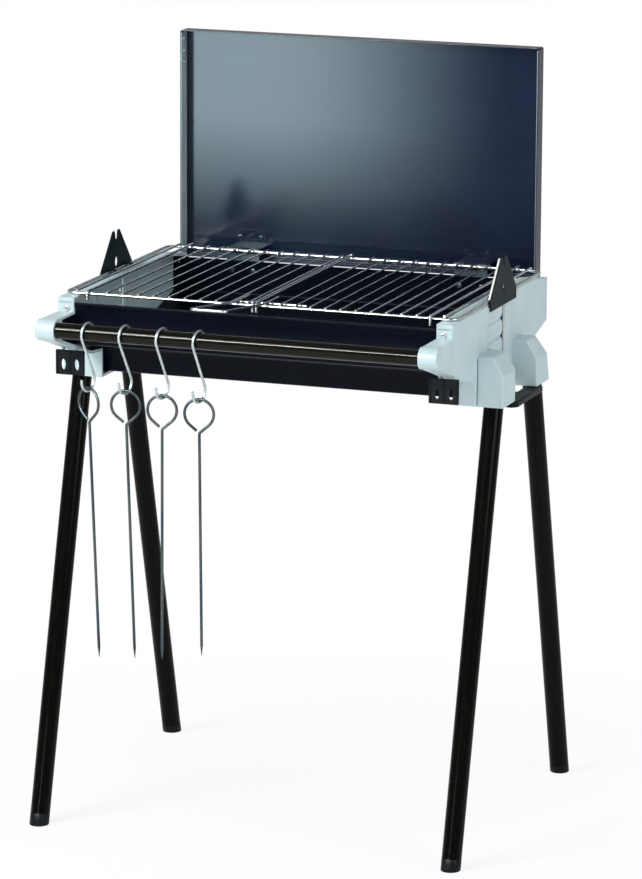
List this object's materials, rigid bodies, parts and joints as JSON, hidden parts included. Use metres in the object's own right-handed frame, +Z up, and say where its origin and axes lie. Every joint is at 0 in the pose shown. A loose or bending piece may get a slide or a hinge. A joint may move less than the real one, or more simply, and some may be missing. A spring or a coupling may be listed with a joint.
{
  "type": "barbecue grill",
  "caption": "Portable charcoal grill on leaning plug-in tube legs, with a lifting wire grate, a hinged pan lid, an ash drawer, and a front rail with hooks and skewers.",
  "frame": {"origin": "middle of the whole grill's footprint, on the floor", "axes": "+X to the right along the rail, +Y to the back towards the lid, +Z up"},
  "size_m": [0.525, 0.503, 0.858],
  "materials": {
    "casting_paint": "satin",
    "enamel": "satin",
    "gloss_tube": "gloss",
    "chrome_wire": "polished",
    "dark_steel": "dull",
    "zinc_wire": "satin",
    "black_plastic": "satin",
    "sheet_steel": "satin",
    "plain_steel": "satin"
  },
  "bodies": {
    "base": {"left_end_casting": "casting_paint", "right_end_casting": "casting_paint", "firebox": "enamel", "charcoal_plate": "enamel", "front_rail": "gloss_tube", "casting_screws": "plain_steel", "left_catch_pin": "plain_steel", "right_catch_pin": "plain_steel", "left_fixed_leaf": "plain_steel", "right_fixed_leaf": "plain_steel", "hinge_pins": "plain_steel", "fixed_leaf_rivets": "plain_steel", "front_drawer_guide": "sheet_steel", "rear_drawer_guide": "sheet_steel"},
    "lid_body": {"lid": "enamel", "left_lid_leaf": "enamel", "right_lid_leaf": "enamel", "lid_leaf_rivets": "enamel"},
    "grate": {"grate_left_half": "chrome_wire", "grate_right_half": "chrome_wire", "grate_centre_wire": "chrome_wire", "grate_left_cross_wire": "chrome_wire", "grate_right_cross_wire": "chrome_wire", "grate_handle": "chrome_wire", "grate_tie": "chrome_wire", "left_hanger_plate": "dark_steel", "right_hanger_plate": "dark_steel", "left_hanger_rod": "plain_steel", "right_hanger_rod": "plain_steel"},
    "drawer": {"drawer_tray": "sheet_steel", "drawer_front": "sheet_steel", "drawer_handle": "black_plastic", "drawer_screws": "plain_steel"},
    "left_catch_body": {"left_catch": "black_plastic"},
    "right_catch_body": {"right_catch": "black_plastic"},
    "front_left_leg_body": {"front_left_leg": "gloss_tube", "front_left_foot": "black_plastic"},
    "front_right_leg_body": {"front_right_leg": "gloss_tube", "front_right_foot": "black_plastic"},
    "rear_left_leg_body": {"rear_left_leg": "gloss_tube", "rear_left_foot": "black_plastic"},
    "rear_right_leg_body": {"rear_right_leg": "gloss_tube", "rear_right_foot": "black_plastic"},
    "hook_1_body": {"hook_1": "zinc_wire"},
    "skewer_1_body": {"skewer_1": "dark_steel"},
    "hook_2_body": {"hook_2": "zinc_wire"},
    "skewer_2_body": {"skewer_2": "dark_steel"},
    "hook_3_body": {"hook_3": "zinc_wire"},
    "skewer_3_body": {"skewer_3": "dark_steel"},
    "hook_4_body": {"hook_4": "zinc_wire"},
    "skewer_4_body": {"skewer_4": "dark_steel"}
  },
  "joints": [
    {"name": "lid_hinge", "type": "hinge", "parent": "base", "child": "lid_body", "pos_m": [-0.0015, 0.202, 0.604], "axis": [-1, 0, 0], "range_deg": [-89, 0]},
    {"name": "grate_lift", "type": "slide", "parent": "base", "child": "grate", "axis": [0, 0, 1], "range_m": [0, 0.0615]},
    {"name": "drawer_slide", "type": "slide", "parent": "base", "child": "drawer", "axis": [1, 0, 0], "range_m": [0, 0.36]},
    {"name": "left_catch_hinge", "type": "hinge", "parent": "base", "child": "left_catch_body", "pos_m": [-0.0015, -0.1295, 0.535], "axis": [1, 0, 0], "range_deg": [0, 30]},
    {"name": "right_catch_hinge", "type": "hinge", "parent": "base", "child": "right_catch_body", "pos_m": [-0.0015, -0.1295, 0.535], "axis": [1, 0, 0], "range_deg": [0, 30]},
    {"name": "front_left_leg_slide", "type": "slide", "parent": "base", "child": "front_left_leg_body", "axis": [0, -0.2632, -0.9647], "range_m": [0, 0.08]},
    {"name": "front_right_leg_slide", "type": "slide", "parent": "base", "child": "front_right_leg_body", "axis": [0, -0.2632, -0.9647], "range_m": [0, 0.08]},
    {"name": "rear_left_leg_slide", "type": "slide", "parent": "base", "child": "rear_left_leg_body", "axis": [0, 0.2632, -0.9647], "range_m": [0, 0.08]},
    {"name": "rear_right_leg_slide", "type": "slide", "parent": "base", "child": "rear_right_leg_body", "axis": [0, 0.2632, -0.9647], "range_m": [0, 0.08]},
    {"name": "hook_1_swing", "type": "hinge", "parent": "base", "child": "hook_1_body", "pos_m": [-0.176, -0.191, 0.575], "axis": [1, 0, 0], "range_deg": [-15, 15]},
    {"name": "skewer_1_swing", "type": "hinge", "parent": "hook_1_body", "child": "skewer_1_body", "pos_m": [-0.176, -0.191, 0.522], "axis": [0.9744, -0.225, 0], "range_deg": [-20, 20]},
    {"name": "hook_2_swing", "type": "hinge", "parent": "base", "child": "hook_2_body", "pos_m": [-0.132, -0.191, 0.575], "axis": [1, 0, 0], "range_deg": [-15, 15]},
    {"name": "skewer_2_swing", "type": "hinge", "parent": "hook_2_body", "child": "skewer_2_body", "pos_m": [-0.132, -0.191, 0.522], "axis": [0.9744, -0.225, 0], "range_deg": [-20, 20]},
    {"name": "hook_3_swing", "type": "hinge", "parent": "base", "child": "hook_3_body", "pos_m": [-0.0884, -0.191, 0.575], "axis": [1, 0, 0], "range_deg": [-15, 15]},
    {"name": "skewer_3_swing", "type": "hinge", "parent": "hook_3_body", "child": "skewer_3_body", "pos_m": [-0.0884, -0.191, 0.52], "axis": [0.9744, -0.225, 0], "range_deg": [-20, 20]},
    {"name": "hook_4_swing", "type": "hinge", "parent": "base", "child": "hook_4_body", "pos_m": [-0.0452, -0.191, 0.575], "axis": [1, 0, 0], "range_deg": [-15, 15]},
    {"name": "skewer_4_swing", "type": "hinge", "parent": "hook_4_body", "child": "skewer_4_body", "pos_m": [-0.0452, -0.191, 0.519], "axis": [0.9744, -0.225, 0], "range_deg": [-20, 20]}
  ]
}
